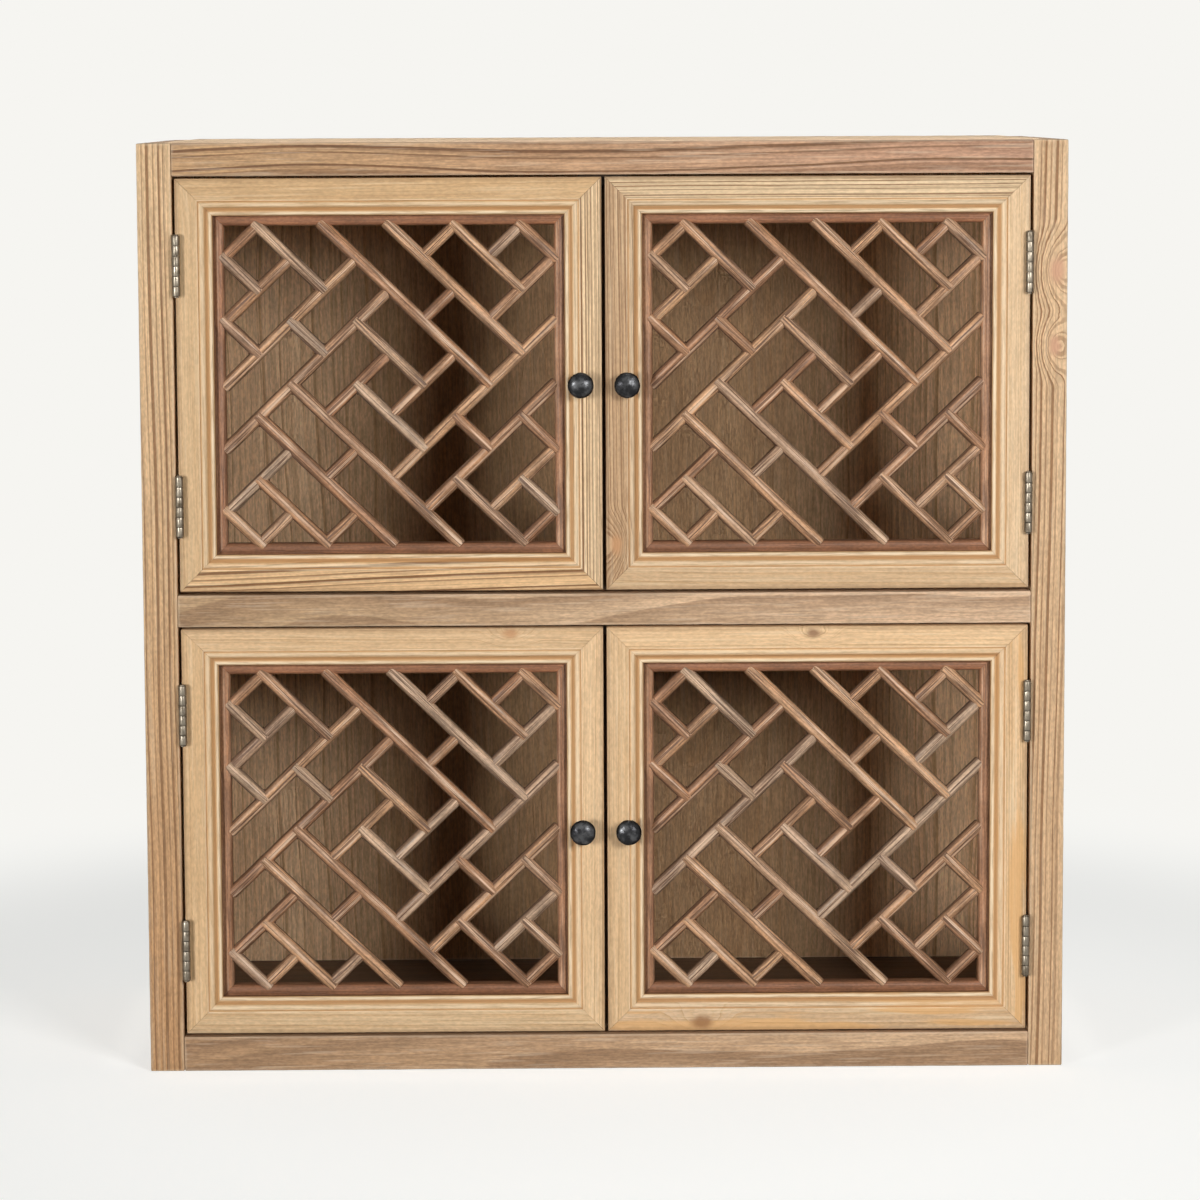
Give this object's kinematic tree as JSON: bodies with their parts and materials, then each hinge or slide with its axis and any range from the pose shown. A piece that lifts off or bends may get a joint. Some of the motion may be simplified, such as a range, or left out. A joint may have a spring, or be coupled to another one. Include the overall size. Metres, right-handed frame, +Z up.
{
  "type": "display cabinet",
  "caption": "Rustic wooden display cabinet: post and rail carcass with panels, shelf and divider, closed by inset hinged doors with mitred moulded frames and open diagonal lattice.",
  "frame": {"origin": "centre of the footprint, on the underside of the floor panel", "axes": "+X to the right seen from the front, +Y to the back, +Z up; the doors face -Y"},
  "size_m": [0.92, 0.422, 0.932],
  "materials": {
    "frame_wood": "brushed old pine, waxed",
    "door_wood": "brushed honey pine, waxed",
    "lattice_wood": "reddish brown, worn",
    "panel_wood": "grey brown stain, matt",
    "black_iron": "black, satin",
    "aged_nickel": "aged, satin",
    "catch_brown": "brown, matt"
  },
  "bodies": {
    "carcass": {"left_front_post": "frame_wood", "right_front_post": "frame_wood", "left_rear_post": "frame_wood", "right_rear_post": "frame_wood", "top_front_rail": "frame_wood", "middle_front_rail": "frame_wood", "bottom_front_rail": "frame_wood", "left_top_rail": "frame_wood", "left_bottom_rail": "frame_wood", "right_top_rail": "frame_wood", "right_bottom_rail": "frame_wood", "left_side_panel": "panel_wood", "right_side_panel": "panel_wood", "back_panel": "panel_wood", "top_panel": "panel_wood", "floor_panel": "panel_wood", "shelf": "panel_wood", "divider": "panel_wood", "upper_catch": "catch_brown", "lower_catch": "catch_brown", "upper_left_top_post_leaf": "aged_nickel", "upper_left_bottom_post_leaf": "aged_nickel", "upper_right_top_post_leaf": "aged_nickel", "upper_right_bottom_post_leaf": "aged_nickel", "lower_left_top_post_leaf": "aged_nickel", "lower_left_bottom_post_leaf": "aged_nickel", "lower_right_top_post_leaf": "aged_nickel", "lower_right_bottom_post_leaf": "aged_nickel"},
    "upper_left_door": {"upper_left_hinge_stile": "door_wood", "upper_left_meeting_stile": "door_wood", "upper_left_door_top_rail": "door_wood", "upper_left_door_bottom_rail": "door_wood", "upper_left_lattice": "lattice_wood", "upper_left_knob": "black_iron", "upper_left_top_door_leaf": "aged_nickel", "upper_left_bottom_door_leaf": "aged_nickel"},
    "upper_right_door": {"upper_right_hinge_stile": "door_wood", "upper_right_meeting_stile": "door_wood", "upper_right_door_top_rail": "door_wood", "upper_right_door_bottom_rail": "door_wood", "upper_right_lattice": "lattice_wood", "upper_right_knob": "black_iron", "upper_right_top_door_leaf": "aged_nickel", "upper_right_bottom_door_leaf": "aged_nickel"},
    "lower_left_door": {"lower_left_hinge_stile": "door_wood", "lower_left_meeting_stile": "door_wood", "lower_left_door_top_rail": "door_wood", "lower_left_door_bottom_rail": "door_wood", "lower_left_lattice": "lattice_wood", "lower_left_knob": "black_iron", "lower_left_top_door_leaf": "aged_nickel", "lower_left_bottom_door_leaf": "aged_nickel"},
    "lower_right_door": {"lower_right_hinge_stile": "door_wood", "lower_right_meeting_stile": "door_wood", "lower_right_door_top_rail": "door_wood", "lower_right_door_bottom_rail": "door_wood", "lower_right_lattice": "lattice_wood", "lower_right_knob": "black_iron", "lower_right_top_door_leaf": "aged_nickel", "lower_right_bottom_door_leaf": "aged_nickel"}
  },
  "joints": [
    {"name": "upper_left_door_swing", "type": "hinge", "parent": "carcass", "child": "upper_left_door", "pos_m": [-0.42195, -0.2043, 0.69203], "axis": [0, 0, -1], "range_deg": [0, 180]},
    {"name": "upper_right_door_swing", "type": "hinge", "parent": "carcass", "child": "upper_right_door", "pos_m": [0.42195, -0.2043, 0.69203], "axis": [0, 0, 1], "range_deg": [0, 180]},
    {"name": "lower_left_door_swing", "type": "hinge", "parent": "carcass", "child": "lower_left_door", "pos_m": [-0.42195, -0.2043, 0.24377], "axis": [0, 0, -1], "range_deg": [0, 180]},
    {"name": "lower_right_door_swing", "type": "hinge", "parent": "carcass", "child": "lower_right_door", "pos_m": [0.42195, -0.2043, 0.24377], "axis": [0, 0, 1], "range_deg": [0, 180]}
  ]
}
